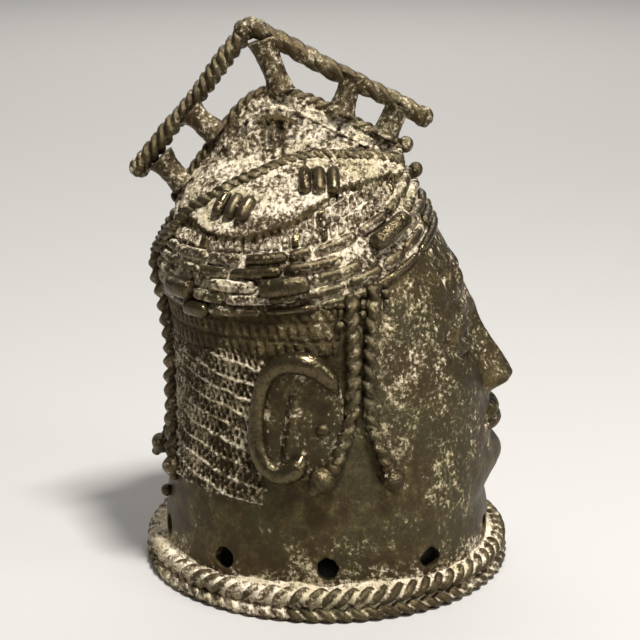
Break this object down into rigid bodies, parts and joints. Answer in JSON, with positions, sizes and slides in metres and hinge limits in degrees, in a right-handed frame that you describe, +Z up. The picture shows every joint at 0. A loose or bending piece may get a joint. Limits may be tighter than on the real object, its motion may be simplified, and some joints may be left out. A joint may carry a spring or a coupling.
{
  "type": "brass head sculpture",
  "caption": "Cast brass head with a bead cap, braided tresses with bells and a gabled crest, hollow and open below, standing on a roped base ring.",
  "frame": {"origin": "middle of the base ring, on the surface it stands on", "axes": "the face looks along -Y, +X is the head's left side, +Z is up"},
  "size_m": [0.2208, 0.2257, 0.322],
  "materials": {
    "old_brass": "aged cast brass: dark olive brown, sandy in the hollows, worn smooth and dark on the ridges"
  },
  "bodies": {
    "root": {"brass_head": "old_brass"}
  },
  "joints": []
}
